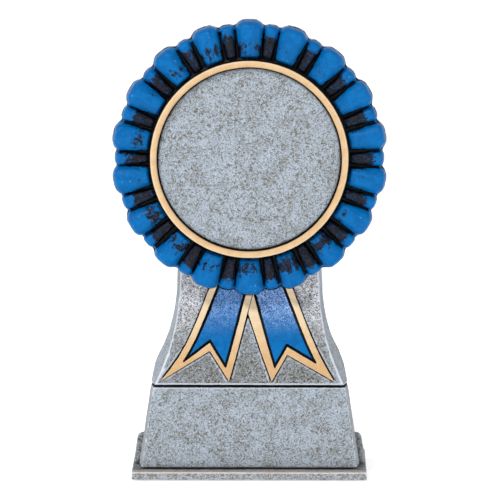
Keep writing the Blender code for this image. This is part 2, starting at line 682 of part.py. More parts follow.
def build_bezel_ring():
    """A half-round topped band, turned about the rosette's axis."""
    front = BEZEL_HEIGHT
    corner = [(math.sin(math.pi / 8 * i), math.cos(math.pi / 8 * i)) for i in range(5)]
    inner_side = [(BEZEL_INNER + BEZEL_ROUND * (1 - s), front - BEZEL_ROUND * (1 - c)) for s, c in corner]
    outer_side = [(BEZEL_OUTER - BEZEL_ROUND * (1 - s), front - BEZEL_ROUND * (1 - c)) for s, c in corner]
    profile = inner_side[::-1] + outer_side
    profile += [(BEZEL_OUTER, 0.0), (BEZEL_INNER, 0.0)]
    bm = bmesh.new()
    points = [bm.verts.new((radius, 0, height)) for radius, height in profile]
    for a, b in zip(points, points[1:] + points[:1]):
        bm.edges.new((a, b))
    mesh = bpy.data.meshes.new("bezel_ring")
    bm.to_mesh(mesh)
    bm.free()
    ring = add_object("bezel_ring", mesh, GOLD)
    turn = ring.modifiers.new("Turned", "SCREW")
    turn.steps = turn.render_steps = ROUND_STEPS
    turn.use_merge_vertices = True
    turn.merge_threshold = 1e-5
    turn.use_smooth_shade = True
    ring.rotation_euler = (math.pi / 2, 0, 0)
    ring.location = (0, BEZEL_BACK_Y, CENTRE_Z)


def build_centre_disc():
    front = BEZEL_BACK_Y - DISC_THICKNESS
    middle = (0, CENTRE_Z)
    disc = cylinder("centre_disc", INSERT_RADIUS, front, BEZEL_BACK_Y, "Y", middle, ROUND_STEPS, STONE)
    smooth_round(disc)


# ---------------------------------------------------------------- hardware


def build_dowels():
    for name, z in dowel_heights().items():
        start = BACKING_BACK_Y - DOWEL_IN_BACKING
        end = NECK_FRONT_Y + DOWEL_IN_COLUMN
        dowel = cylinder(f"rosette_{name}", DOWEL_RADIUS, start, end, "Y", (0, z), SMALL_ROUND_STEPS, STEEL)
        smooth_round(dowel)


def build_base_bolt():
    head_top = COUNTERBORE_Z - WASHER_THICKNESS - 2 * BOND_GAP
    bolt = cylinder("base_bolt", BOLT_RADIUS, head_top - 1 * MM, TENON_FOOT_Z + BOLT_IN_NUT, material=STEEL)
    head = cylinder("bolt_head", BOLT_HEAD_RADIUS, head_top - BOLT_HEAD_HEIGHT, head_top)
    socket = cylinder("bolt_socket_cut", BOLT_RADIUS * 0.6, -FAR, head_top - BOLT_HEAD_HEIGHT / 2, steps=6)
    boolean(bolt, head, "UNION")
    boolean(bolt, socket)
    washer_foot = COUNTERBORE_Z - WASHER_THICKNESS - BOND_GAP
    washer = cylinder("base_washer", WASHER_RADIUS, washer_foot, COUNTERBORE_Z - BOND_GAP, material=STEEL)
    boolean(washer, cylinder("washer_hole_cut", CLEAR_RADIUS, -FAR, FAR))
    nut_top = TENON_FOOT_Z + INSERT_NUT_LENGTH
    nut = cylinder("column_insert", INSERT_NUT_RADIUS, TENON_FOOT_Z, nut_top, material=BRASS)
    boolean(nut, cylinder("insert_bore_cut", CLEAR_RADIUS, -FAR, FAR))


clear_scene()
AWARD = new_collection("Award_ribbon")
CUTTERS = new_collection("Cutters")
STONE = make_material("stone_resin", (0.36, 0.40, 0.44), 0.6)
BLUE = make_material("blue_paint", (0.0, 0.15, 0.46), 0.35)
GOLD = make_material("gold_paint", (0.85, 0.57, 0.30), 0.4, 0.2)
FELT = make_material("felt", (0.03, 0.03, 0.035), 0.95)
STEEL = make_material("steel", (0.6, 0.6, 0.62), 0.3, 1.0)
BRASS = make_material("brass", (0.7, 0.5, 0.2), 0.35, 1.0)

build_felt_pad()
build_foot_plate()
build_rear_plinth()
build_nameplate_block()
build_column()
build_tails()
build_backing_disc()
build_pleat_ring()
build_bezel_ring()
build_centre_disc()
build_dowels()
build_base_bolt()
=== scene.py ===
"""Looks of the award ribbon: a rosette trophy of cast resin, its ribbon painted by hand.

Every piece is built in the CAD model's own frame: metres, +Z up, the front faces -Y, and the origin is under
the middle of the base. The finish is bare stone-grey resin with a dark wash in its hollows and pale edges,
partly dry brush and partly painted highlight; the ribbon is blue with cream-gold trims and black lines, and
it carries painted highlights and painted light and shade.
"""

import math

import bmesh
import bpy
import numpy as np
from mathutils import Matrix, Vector


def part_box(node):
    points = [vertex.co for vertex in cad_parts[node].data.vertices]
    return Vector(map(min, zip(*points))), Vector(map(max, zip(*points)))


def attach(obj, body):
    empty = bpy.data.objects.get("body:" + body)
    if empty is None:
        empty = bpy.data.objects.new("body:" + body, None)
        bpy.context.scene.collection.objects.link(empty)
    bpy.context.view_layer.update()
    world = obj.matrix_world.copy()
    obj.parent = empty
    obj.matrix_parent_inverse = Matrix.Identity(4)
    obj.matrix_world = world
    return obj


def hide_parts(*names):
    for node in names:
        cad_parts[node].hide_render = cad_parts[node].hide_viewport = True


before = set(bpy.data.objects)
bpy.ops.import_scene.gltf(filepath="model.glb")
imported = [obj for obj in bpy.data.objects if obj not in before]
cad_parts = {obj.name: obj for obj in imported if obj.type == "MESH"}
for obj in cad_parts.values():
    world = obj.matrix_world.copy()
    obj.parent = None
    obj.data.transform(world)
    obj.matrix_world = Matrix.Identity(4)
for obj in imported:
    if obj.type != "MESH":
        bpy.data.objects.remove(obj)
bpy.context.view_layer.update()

MM = 0.001

# Column face, as the CAD model has it
COLUMN_Z = 32.4 * MM
TAIL_TIP_Z = 33.9 * MM
SWEEP_START = 10.5 * MM
SWEEP_END = 30.7 * MM
SWEEP_SHARE = 0.8
COLUMN_FOOT_Y = -14.6 * MM
NECK_FRONT_Y = -5.0 * MM

# Ribbon tails
TRIM_PROUD = 1.3  # mm above the column's face
FIELD_PROUD = 0.9
CROSSING_HALF_WIDTH = 5 * MM  # the two trims meet this near the middle, above this height
CROSSING_Z = 58 * MM

# Name block
BLOCK_Z = 3.7 * MM
BLOCK_TOP_Z = 31.8 * MM
BLOCK_FOOT_FRONT_Y = -17.0 * MM
BLOCK_TOP_FRONT_Y = -15.2 * MM

# Rosette
CENTRE_Z = 111.6 * MM
RING_BACK_Y = -8.3 * MM
PLEAT_COUNT = 18
PLEAT_RING_BORE = 33.0
FLANGE_EDGE = 34.7
FLANGE_HEIGHT = 2.5
PLEAT_INNER = 35.0
BIG_RADIUS = 47.75
SMALL_RADIUS = 46.55
GAP_RADIUS = 45.75
BIG_HALF = 0.265, 0.298
SMALL_HALF = 0.138, 0.158
BIG_CREST = 6.4
SMALL_CREST = 4.3
GAP_FLOOR = 1.2
BEZEL_INNER = 32.05
BEZEL_OUTER = 34.4
BEZEL_HEIGHT = 4.3
BEZEL_BACK_Y = -11.1 * MM
DISC_RADIUS = 31.75
DISC_THICKNESS = 2.3
DISC_MIDDLE_SHARE = 0.004  # radius of the small flat that closes the middle of the disc's rings
BRUSH_RADIUS = 38.0 * MM  # where around the rosette the width of a brush streak is measured

# Light
LAMP_SIDE = -0.42, -0.55, 0.72  # where the painted highlights of the pleats face
KEY_PLACE = -0.5, -0.9, 1.3
KEY_SIZE = 0.3
KEY_POWER = 11.5
SKY_STRENGTH = 0.54
FLOOR_GLOW = 0.5  # lifts the floor to the white of the studio
FLOOR_DROP = 0.02 * MM  # below the object's foot

# Camera
CAMERA_AIM = Vector((0.2, -8.0, 79.15)) * MM
CAMERA_DISTANCE = 1.5
CAMERA_ELEVATION = 8.0
CAMERA_AZIMUTH = 0.5
CAMERA_LENS = 310.2


# ---------------------------------------------------------------- numbers


def smoothstep(low, high, value):
    t = np.clip((value - low) / (high - low), 0, 1)
    return t * t * (3 - 2 * t)


def mix(a, b, share):
    return a + (b - a) * share


def lattice_noise(points, size, seed):
    """Smooth random numbers from -1 to 1 that change over lengths of about size."""
    random = np.random.default_rng(seed)
    table = random.uniform(-1, 1, 4096)
    spots = points / size + random.uniform(0, 50, 3)
    cells = np.floor(spots).astype(np.int64)
    part = spots - cells
    part = part * part * (3 - 2 * part)
    total = np.zeros(len(points))
    for corner in np.ndindex(2, 2, 2):
        x, y, z = (cells + corner).T
        weight = np.where(corner, part, 1 - part).prod(axis=1)
        total += weight * table[(x * 73856093 ^ y * 19349663 ^ z * 83492791) & 4095]
    return total


def rough_noise(points, size, seed, octaves=3):
    """The same with finer and weaker noise added over it."""
    total = sum(lattice_noise(points, size / 2**k, seed + k) / 2**k for k in range(octaves))
    return total / 1.5


def face_y(z):
    """Front face of the column at each height."""
    swept = np.clip((z - COLUMN_Z - SWEEP_START) / (SWEEP_END - SWEEP_START), 0, 1) * SWEEP_SHARE
    full_sweep = SWEEP_SHARE**2 * (3 - 2 * SWEEP_SHARE)
    return mix(COLUMN_FOOT_Y, NECK_FRONT_Y, smoothstep(0, 1, swept) / full_sweep)


# ---------------------------------------------------------------- meshes


def points_of(mesh):
    flat = np.empty(len(mesh.vertices) * 3)
    mesh.vertices.foreach_get("co", flat)
    return flat.reshape(-1, 3)


def normals_of(mesh):
    flat = np.empty(len(mesh.vertices) * 3)
    mesh.vertices.foreach_get("normal", flat)
    return flat.reshape(-1, 3)


def edges_of(mesh):
    flat = np.empty(len(mesh.edges) * 2, dtype=np.int32)
    mesh.edges.foreach_get("vertices", flat)
    return flat.reshape(-1, 2)


def move_points(mesh, points):
    mesh.vertices.foreach_set("co", points.ravel())
    mesh.update()


def store(mesh, **masks):
    """Keeps one number for each point of the mesh under each name, for the materials to read."""
    for name, values in masks.items():
        attribute = mesh.attributes.new(name, "FLOAT", "POINT")
        attribute.data.foreach_set("value", np.asarray(values, dtype=np.float32))


def neighbour_mean(values, edges):
    """For each point, the mean of the values at the points it shares an edge with."""
    a, b = edges.T
    count = len(values)
    total = [
        np.bincount(a, values[b, k], count) + np.bincount(b, values[a, k], count) for k in range(3)
    ]
    links = np.bincount(a, minlength=count) + np.bincount(b, minlength=count)
    return np.stack(total, axis=1) / links[:, None]


def relief(mesh, rounds):
    """How far each point stands out from its surroundings, in mm: above 0 on edges, below 0 in hollows."""
    points, edges = points_of(mesh), edges_of(mesh)
    settled = points
    for _ in range(rounds):
        settled = neighbour_mean(settled, edges)
    return ((points - settled) * normals_of(mesh)).sum(axis=1) / MM


def cast_copy(node, voxel, rounds=2):
    """A fine copy of a CAD node, its edges rounded off a little as a casting's are."""
    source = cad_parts[node]
    work = bpy.data.objects.new(node + "_work", source.data.copy())
    bpy.context.scene.collection.objects.link(work)
    remesh = work.modifiers.new("Remesh", "REMESH")
    remesh.mode = "VOXEL"
    remesh.voxel_size = voxel
    graph = bpy.context.evaluated_depsgraph_get()
    mesh = bpy.data.meshes.new_from_object(work.evaluated_get(graph))
    bpy.data.objects.remove(work)
    points, edges = points_of(mesh), edges_of(mesh)
    for _ in range(rounds):
        points += 0.5 * (neighbour_mean(points, edges) - points)
        points -= 0.42 * (neighbour_mean(points, edges) - points)
    move_points(mesh, keep_inside(node, points))
    return mesh


def keep_inside(node, points):
    low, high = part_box(node)
    return np.clip(points, np.array(low), np.array(high))


def weather(mesh, node, seed, coarse, fine, size=5 * MM):
    """Wears the surface inwards: broad dents of the depth coarse and a fine grain of the depth fine."""
    points, normals = points_of(mesh), normals_of(mesh)
    broad = 0.5 + 0.5 * rough_noise(points, size, seed)
    grain = 0.5 + 0.5 * rough_noise(points, 0.9 * MM, seed + 20, 2)
    points -= normals * (coarse * broad + fine * grain)[:, None]
    move_points(mesh, keep_inside(node, points))


def add_piece(name, mesh, material, slot, *nodes):
    """Shows the mesh as a piece of the object, in the place of these CAD nodes."""
    mesh.name = name
    mesh.materials.clear()
    mesh.materials.append(material)
    mesh.shade_smooth()
    piece = bpy.data.objects.new(name, mesh)
    bpy.context.scene.collection.objects.link(piece)
    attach(piece, "root")
    if nodes:
        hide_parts(*nodes)
    return piece


def grid_mesh(name, grid):
    """A closed skin over a grid of points that runs round in both directions: grid[around][across]."""
    around, across = grid.shape[:2]
    mesh = bpy.data.meshes.new(name)
    i, j = np.meshgrid(np.arange(around), np.arange(across), indexing="ij")
    next_i, next_j = (i + 1) % around, (j + 1) % across
    quads = [i * across + j, i * across + next_j, next_i * across + next_j, next_i * across + j]
    faces = np.stack(quads, axis=-1).reshape(-1, 4)
    mesh.from_pydata(grid.reshape(-1, 3), [], faces.tolist())
    mesh.update()
    return mesh


def on_rosette(radius, angle, height):
    """Points of the rosette from radius and height in mm; angle 0 is straight up and grows towards +X."""
    x = radius * np.sin(angle) * MM
    z = CENTRE_Z + radius * np.cos(angle) * MM
    return np.stack(np.broadcast_arrays(x, RING_BACK_Y - height * MM, z), axis=-1)


# ---------------------------------------------------------------- materials


class Paint:
    """A material whose Principled shader is fed by a small graph of nodes."""

    def __init__(self, name):
        self.material = bpy.data.materials.new(name)
        self.material.use_nodes = True
        self.tree = self.material.node_tree
        self.shader = self.tree.nodes["Principled BSDF"]
        self.place = self.tree.nodes.new("ShaderNodeTexCoord").outputs["Object"]

    def feed(self, socket, value):
        if isinstance(value, bpy.types.NodeSocket):
            self.tree.links.new(value, socket)
        else:
            socket.default_value = value

    def set(self, name, value):
        self.feed(self.shader.inputs[name], value)

    def stretched(self, scale):
        mapping = self.tree.nodes.new("ShaderNodeMapping")
        self.feed(mapping.inputs["Vector"], self.place)
        mapping.inputs["Scale"].default_value = scale
        return mapping.outputs["Vector"]

    def noise(self, size, detail=2.0, distortion=0.0, place=None):
        """Clouds from 0 to 1 of about that size, in metres."""
        node = self.tree.nodes.new("ShaderNodeTexNoise")
        self.feed(node.inputs["Vector"], place or self.place)
        node.inputs["Scale"].default_value = 0.5 / size
        node.inputs["Detail"].default_value = detail
        node.inputs["Distortion"].default_value = distortion
        return node.outputs["Fac"]

    def mask(self, name):
        node = self.tree.nodes.new("ShaderNodeAttribute")
        node.attribute_name = name
        return node.outputs["Fac"]

    def facing(self):
        """0 where the surface is seen square on, up to 1 at its outline."""
        node = self.tree.nodes.new("ShaderNodeLayerWeight")
        return node.outputs["Facing"]

    def math(self, operation, a, b):
        node = self.tree.nodes.new("ShaderNodeMath")
        node.operation = operation
        self.feed(node.inputs[0], a)
        self.feed(node.inputs[1], b)
        return node.outputs[0]

    def times(self, a, b):
        return self.math("MULTIPLY", a, b)

    def plus(self, a, b):
        return self.math("ADD", a, b)

    def ramp(self, value, low, high, to_low=0.0, to_high=1.0):
        """to_low up to the value low, to_high from the value high on, and smooth between."""
        node = self.tree.nodes.new("ShaderNodeMapRange")
        node.interpolation_type = "SMOOTHSTEP"
        for name, number in zip(
            ("Value", "From Min", "From Max", "To Min", "To Max"), (value, low, high, to_low, to_high)
        ):
            self.feed(node.inputs[name], number)
        return node.outputs["Result"]

    def blend(self, share, under, over):
        node = self.tree.nodes.new("ShaderNodeMix")
        node.data_type = "RGBA"
        self.feed(node.inputs["Factor"], share)
        self.feed(node.inputs["A"], under if isinstance(under, bpy.types.NodeSocket) else (*under, 1.0))
        self.feed(node.inputs["B"], over if isinstance(over, bpy.types.NodeSocket) else (*over, 1.0))
        return node.outputs["Result"]

    def bump(self, height, distance, strength=1.0):
        node = self.tree.nodes.new("ShaderNodeBump")
        node.inputs["Distance"].default_value = distance
        node.inputs["Strength"].default_value = strength
        self.feed(node.inputs["Height"], height)
        self.set("Normal", node.outputs["Normal"])


def srgb(*channels):
    """A colour given as 0 to 255 screen values, as linear ones."""
    return tuple(
        c / 255 / 12.92 if c / 255 <= 0.04045 else ((c / 255 + 0.055) / 1.055) ** 2.4 for c in channels
    )


def stone_finish():
    """Grey resin: a pale blue dry brush over a mid grey, olive-brown wash left in the grain."""
    paint = Paint("stone_resin")
    patches = paint.noise(2.8 * MM, 3.0, 0.5)
    strokes = paint.noise(0.46 * MM, 3.0, 2.6)
    specks = paint.noise(0.36 * MM, 2.0, 0.9)
    flecks = paint.noise(0.3 * MM, 1.0)
    cloudy = paint.ramp(patches, 0.35, 0.65, -0.024, 0.024)
    light = paint.plus(strokes, cloudy)
    dark = paint.plus(specks, paint.times(cloudy, -1.0))
    colour = paint.blend(paint.ramp(light, 0.42, 0.57), srgb(134, 139, 141), srgb(171, 184, 199))
    colour = paint.blend(paint.times(paint.ramp(dark, 0.52, 0.64), 0.95), colour, srgb(104, 101, 92))
    colour = paint.blend(paint.times(paint.ramp(flecks, 0.62, 0.70), 0.6), colour, srgb(60, 59, 57))
    brown = paint.times(paint.mask("brown"), paint.ramp(strokes, 0.4, 0.62, 0.9, 0.35))
    colour = paint.blend(brown, colour, srgb(108, 104, 93))
    brown_grain = paint.times(paint.mask("brown"), paint.ramp(specks, 0.5, 0.62, 0.0, 0.9))
    colour = paint.blend(brown_grain, colour, srgb(66, 62, 54))
    # Near-white painted highlight flecks among dark pits, strongest on the upper front of the column, where
    # it tilts up to the light.
    rugged = paint.mask("rugged")
    pits = paint.times(rugged, paint.ramp(specks, 0.42, 0.55, 0.85, 0.0))
    colour = paint.blend(pits, colour, srgb(62, 60, 57))
    highlight_flecks = paint.times(rugged, paint.ramp(strokes, 0.46, 0.55, 0.0, 0.9))
    colour = paint.blend(highlight_flecks, colour, srgb(226, 226, 230))
    smooth = paint.times(paint.mask("smooth"), 0.35)
    colour = paint.blend(smooth, colour, srgb(150, 156, 162))
    ragged = paint.plus(paint.times(specks, 0.8), -0.4)
    hollow = paint.ramp(paint.plus(paint.mask("hollow"), ragged), 0.3, 0.75)
    colour = paint.blend(hollow, colour, srgb(52, 48, 44))
    tan = paint.times(paint.mask("tan"), paint.ramp(specks, 0.4, 0.6, 1.0, 0.4))
    colour = paint.blend(tan, colour, srgb(182, 158, 136))
    # Pale line on convex edges: partly dry brush, partly a painted highlight of the edges catching the
    # light.
    crest = paint.ramp(paint.plus(paint.mask("crest"), paint.times(ragged, 0.5)), 0.25, 0.6)
    colour = paint.blend(paint.times(crest, 0.9), colour, srgb(204, 211, 221))
    # Black lines in joints and grooves; on the foot also a painted contact shadow in front of the block.
    lined_and_shaded = paint.ramp(paint.plus(paint.mask("lining"), paint.times(ragged, 0.6)), 0.4, 0.6)
    colour = paint.blend(lined_and_shaded, colour, srgb(20, 19, 20))
    # Painted shade: the stone darkens towards its outline, where its surface turns away from the camera.
    outline_shade = paint.ramp(paint.facing(), 0.84, 0.97, 0.0, 0.6)
    colour = paint.blend(outline_shade, colour, srgb(58, 58, 60))
    paint.set("Base Color", colour)
    paint.set("Roughness", paint.ramp(specks, 0.3, 0.7, 0.72, 0.55))
    paint.set("Specular IOR Level", 0.25)
    grain = paint.plus(paint.times(strokes, 0.6), paint.times(specks, -0.5))
    paint.bump(grain, 0.25 * MM, 0.6)
    return paint.material


def blue_finish():
    """Satin blue over black: bare of blue in the folds, scuffed towards the bezel, with painted highlights
    on the pleats and painted light and shade on the crinkled tops of the tails.
    """
    paint = Paint("blue_paint")
    brushed = paint.noise(1.4 * MM, 3.0, 0.8)
    fine = paint.noise(0.45 * MM, 2.0, 0.6)
    blotch = paint.noise(1.1 * MM, 4.0, 1.2)
    worms = paint.noise(0.38 * MM, 3.0, 2.6)
    colour = paint.blend(paint.ramp(brushed, 0.35, 0.65), srgb(0, 92, 156), srgb(0, 104, 172))
    colour = paint.blend(paint.times(paint.ramp(fine, 0.55, 0.7), 0.2), colour, srgb(14, 116, 186))
    # Painted light and shade on the crinkled upper parts of the tails: a lighter blue, darker creases and
    # pale ridge highlights.
    crinkle_light = paint.mask("fleck")
    colour = paint.blend(paint.times(crinkle_light, 0.3), colour, srgb(104, 150, 206))
    crease_shade = paint.times(crinkle_light, paint.ramp(worms, 0.38, 0.47, 0.5, 0.0))
    colour = paint.blend(crease_shade, colour, srgb(0, 66, 128))
    ridge_highlights = paint.times(crinkle_light, paint.ramp(worms, 0.51, 0.58, 0.0, 0.95))
    colour = paint.blend(ridge_highlights, colour, srgb(176, 196, 230))
    glint = paint.ramp(paint.plus(paint.mask("glint"), paint.plus(paint.times(fine, 2.4), -1.2)), 0.4, 0.9)
    colour = paint.blend(paint.times(glint, 0.9), colour, srgb(128, 164, 226))
    scuff = paint.plus(paint.mask("scuff"), paint.plus(paint.times(blotch, 1.3), paint.times(fine, 0.7)))
    inky = paint.blend(paint.ramp(worms, 0.45, 0.6), srgb(12, 14, 20), srgb(42, 45, 52))
    inky = paint.blend(paint.times(paint.ramp(fine, 0.58, 0.66), 0.8), inky, srgb(8, 62, 118))
    colour = paint.blend(paint.ramp(scuff, 1.44, 1.72), colour, inky)
    ragged = paint.plus(paint.times(blotch, 0.9), -0.45)
    lined_and_shaded = paint.ramp(paint.plus(paint.mask("lining"), ragged), 0.38, 0.62)
    colour = paint.blend(lined_and_shaded, colour, srgb(10, 10, 16))
    paint.set("Base Color", colour)
    paint.set("Roughness", paint.ramp(brushed, 0.3, 0.7, 0.34, 0.48))
    paint.set("Specular IOR Level", 0.1)
    paint.bump(paint.plus(paint.times(brushed, 0.6), paint.times(fine, 0.4)), 0.2 * MM, 0.5)
    return paint.material


def gold_finish():
    """Cream-gold paint, paler where a mask of painted light says so, with black lines down its sides and a
    painted highlight on its raised edges.
    """
    paint = Paint("gold_paint")
    brushed = paint.noise(1.2 * MM, 3.0, 0.6)
    fine = paint.noise(0.4 * MM, 2.0)
    # Painted light: the trims are paler higher up, where they tilt up to the light, and the bezel is paler
    # towards its outer edge.
    pale = paint.plus(paint.mask("pale"), paint.ramp(brushed, 0.3, 0.7, -0.12, 0.12))
    colour = paint.blend(pale, srgb(200, 160, 112), srgb(230, 206, 168))
    colour = paint.blend(paint.times(paint.ramp(fine, 0.6, 0.75), 0.25), colour, srgb(196, 150, 100))
    # Painted highlight along the raised edges.
    crest = paint.times(paint.ramp(paint.mask("crest"), 0.3, 0.9), 0.35)
    colour = paint.blend(crest, colour, srgb(238, 218, 186))
    ragged = paint.plus(paint.times(fine, 0.5), -0.25)
    lined_and_shaded = paint.ramp(paint.plus(paint.mask("lining"), ragged), 0.4, 0.6)
    colour = paint.blend(lined_and_shaded, colour, srgb(18, 15, 14))
    paint.set("Base Color", colour)
    paint.set("Roughness", paint.ramp(fine, 0.3, 0.7, 0.42, 0.55))
    paint.set("Specular IOR Level", 0.3)
    paint.bump(paint.plus(paint.times(brushed, 0.5), paint.times(fine, 0.5)), 0.15 * MM, 0.5)
    return paint.material


def felt_finish():
    """Dark grey pressed felt with a few paler fibres."""
    paint = Paint("felt")
    tufts = paint.noise(0.5 * MM, 5.0, 1.5)
    fibres = paint.noise(0.16 * MM, 2.0, 2.5)
    colour = paint.blend(paint.ramp(tufts, 0.35, 0.65), srgb(38, 38, 42), srgb(56, 56, 62))
    colour = paint.blend(paint.times(paint.ramp(fibres, 0.6, 0.7), 0.6), colour, srgb(92, 92, 98))
    paint.set("Base Color", colour)
    paint.set("Roughness", 0.95)
    paint.set("Sheen Weight", 0.3)
    paint.bump(paint.plus(tufts, fibres), 0.2 * MM, 0.9)
    return paint.material


def metal_finish(name, bright, dull, roughness):
    """Turned metal: fine rings of tool marks along Z and a little tarnish."""
    paint = Paint(name)
    turned = paint.noise(0.25 * MM, 3.0, 0.0, paint.stretched((0.15, 0.15, 3.0)))
    tarnish = paint.noise(2.0 * MM, 4.0, 0.8)
    colour = paint.blend(paint.ramp(tarnish, 0.4, 0.7), bright, dull)
    paint.set("Base Color", colour)
    paint.set("Metallic", 1.0)
    paint.set("Roughness", paint.ramp(turned, 0.3, 0.7, roughness - 0.08, roughness + 0.1))
    paint.bump(turned, 0.03 * MM, 0.5)
    return paint.material


def floor_finish():
    paint = Paint("studio_floor")
    soft = paint.noise(0.4, 2.0)
    paint.set("Base Color", paint.blend(soft, (0.93, 0.93, 0.93), (0.95, 0.95, 0.95)))
    paint.set("Roughness", 1.0)
    paint.set("Specular IOR Level", 0.0)
    paint.set("Emission Color", (1.0, 1.0, 1.0, 1.0))
    paint.set("Emission Strength", FLOOR_GLOW)
    return paint.material


# ---------------------------------------------------------------- the base and the column


def stone_masks(mesh, brown=0.0, edge_highlight=1.0):
    """A thin pale line on the edges, partly dry brush and partly painted highlight, and a broader dark wash
    in the hollows.
    """
    store(
        mesh,
        crest=smoothstep(0.035, 0.11, relief(mesh, 3)) * edge_highlight,
        hollow=smoothstep(0.05, 0.25, -relief(mesh, 10)),
        brown=np.broadcast_to(brown, len(mesh.vertices)),
    )


def build_foot_plate():
    mesh = cast_copy("foot_plate", 0.34 * MM, 1)
    weather(mesh, "foot_plate", 11, 0.12 * MM, 0.06 * MM)
    points = points_of(mesh)
    on_top = points[:, 2] > 2.6 * MM
    beside_block = smoothstep(20.0 * MM, 19.0 * MM, -points[:, 1]) * on_top
    ledge = smoothstep(18.6 * MM, 19.4 * MM, -points[:, 1]) * on_top
    block_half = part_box("nameplate_block")[1][0]
    under_block = smoothstep(block_half + 0.6 * MM, block_half, np.abs(points[:, 0]))
    # Painted contact shadow: a dark line on the foot's top just in front of the block's base.
    contact_shadow = smoothstep(17.7 * MM, 17.2 * MM, -points[:, 1]) * under_block * on_top
    contact_shadow *= smoothstep(15.8 * MM, 16.4 * MM, -points[:, 1])
    front = smoothstep(0.5, 0.9, -normals_of(mesh)[:, 1])
    off_the_ground = smoothstep(1.0 * MM, 2.0 * MM, points[:, 2])
    stone_masks(mesh, np.maximum(0.9 * beside_block, 0.5 * front), off_the_ground)
    store(mesh, tan=0.8 * ledge, lining=0.8 * contact_shadow, rugged=0.3 * front)
    add_piece("foot_plate_cast", mesh, STONE, "stone_resin", "foot_plate")


def build_rear_plinth():
    mesh = cast_copy("rear_plinth", 0.36 * MM)
    weather(mesh, "rear_plinth", 12, 0.2 * MM, 0.06 * MM)
    front = smoothstep(0.3, 0.8, -normals_of(mesh)[:, 1])
    stone_masks(mesh, front, 0.5)
    add_piece("rear_plinth_cast", mesh, STONE, "stone_resin", "rear_plinth")


def build_nameplate_block():
    mesh = cast_copy("nameplate_block", 0.35 * MM, 1)
    weather(mesh, "nameplate_block", 13, 0.12 * MM, 0.08 * MM)
    stone_masks(mesh)
    _, y, z = points_of(mesh).T
    behind = (y - mix(BLOCK_FOOT_FRONT_Y, BLOCK_TOP_FRONT_Y, (z - BLOCK_Z) / (BLOCK_TOP_Z - BLOCK_Z))) / MM
    top = smoothstep(BLOCK_TOP_Z - 0.6 * MM, BLOCK_TOP_Z - 0.1 * MM, z)
    aside = smoothstep(0.3, 0.8, np.abs(normals_of(mesh)[:, 0]))
    store(mesh, lining=0.6 * top * smoothstep(0.6, 1.2, behind), smooth=aside)
    add_piece("nameplate_block_cast", mesh, STONE, "stone_resin", "nameplate_block")


def build_column():
    mesh = cast_copy("column", 0.46 * MM, 1)
    weather(mesh, "column", 14, 0.18 * MM, 0.1 * MM)
    points, normals = points_of(mesh), normals_of(mesh)
    x, y, z = points.T
    front = smoothstep(0.2, 0.6, -normals[:, 1])
    between_tails = smoothstep(30 * MM, 24 * MM, np.abs(x)) * smoothstep(56 * MM, 40 * MM, z)
    stone_masks(mesh, 0.85 * front * between_tails)
    sunk = (y - face_y(z)) / MM
    beside_tails = 32.2 * MM - 0.53 * (z - TAIL_TIP_Z)
    in_pockets = (np.abs(x) < beside_tails) & (z > COLUMN_Z + 1 * MM) & (z < 72 * MM) & (sunk < 3)
    seam = 0.6 * smoothstep(COLUMN_Z + 0.35 * MM, COLUMN_Z + 0.1 * MM, z) * smoothstep(0.3, 0.8, sunk)
    lining = np.maximum(seam, np.where(in_pockets, smoothstep(0.25, 0.6, sunk), 0))
    # Painted highlight: the upper front of the column, tilted up to the light, gets near-white flecks among
    # dark pits.
    upper = front * smoothstep(44 * MM, 58 * MM, z) * smoothstep(6 * MM, 12 * MM, np.abs(x))
    aside = smoothstep(0.3, 0.8, np.abs(normals[:, 0])) * (sunk > 0.4)
    store(mesh, lining=lining, rugged=upper, smooth=aside)
    add_piece("column_cast", mesh, STONE, "stone_resin", "column")


def build_backing_disc():
    mesh = cast_copy("backing_disc", 0.5 * MM)
    weather(mesh, "backing_disc", 15, 0.1 * MM, 0.05 * MM)
    stone_masks(mesh, 0.7)
    store(mesh, lining=0.9 * smoothstep(-7.3 * MM, -7.9 * MM, points_of(mesh)[:, 1]))
    add_piece("backing_disc_cast", mesh, STONE, "stone_resin", "backing_disc")


def build_felt_pad():
    mesh = cast_copy("felt_pad", 0.4 * MM, 2)
    points, normals = points_of(mesh), normals_of(mesh)
    nap = 0.5 + 0.5 * rough_noise(points, 1.2 * MM, 16)
    sides = 1 - np.abs(normals[:, 2])
    points -= normals * (nap * (0.05 + 0.15 * sides) * MM)[:, None]
    move_points(mesh, points)
    pad = add_piece("felt_pad_napped", mesh, FELT, "felt", "felt_pad")


# ---------------------------------------------------------------- the ribbon's tails


def ribbon_masks(mesh, proud, **more):
    """Black lines down the sides of a raised ribbon part whose face stands that far proud of the column, and
    a painted highlight along its raised edges.
    """
    points = points_of(mesh)
    below = (points[:, 1] - face_y(points[:, 2])) / MM + proud
    at_crossing = (np.abs(points[:, 0]) < CROSSING_HALF_WIDTH) & (points[:, 2] > CROSSING_Z)
    where_tails_cross = at_crossing & (proud == TRIM_PROUD)
    lining = np.where(where_tails_cross, 0, smoothstep(0.1, 0.4, below))
    # The pale edge line is a painted highlight.
    store(mesh, lining=lining, crest=smoothstep(0.03, 0.15, relief(mesh, 8)), **more)


def close_crossing(mesh):
    """Narrows the bond line where the right trim runs into the left one."""
    points, normals = points_of(mesh), normals_of(mesh)
    towards_left = smoothstep(0.3, 0.8, -normals[:, 0]) * (np.abs(points[:, 0]) < CROSSING_HALF_WIDTH)
    points[:, 0] -= 0.24 * MM * towards_left * smoothstep(CROSSING_Z - 2 * MM, CROSSING_Z, points[:, 2])
    move_points(mesh, points)


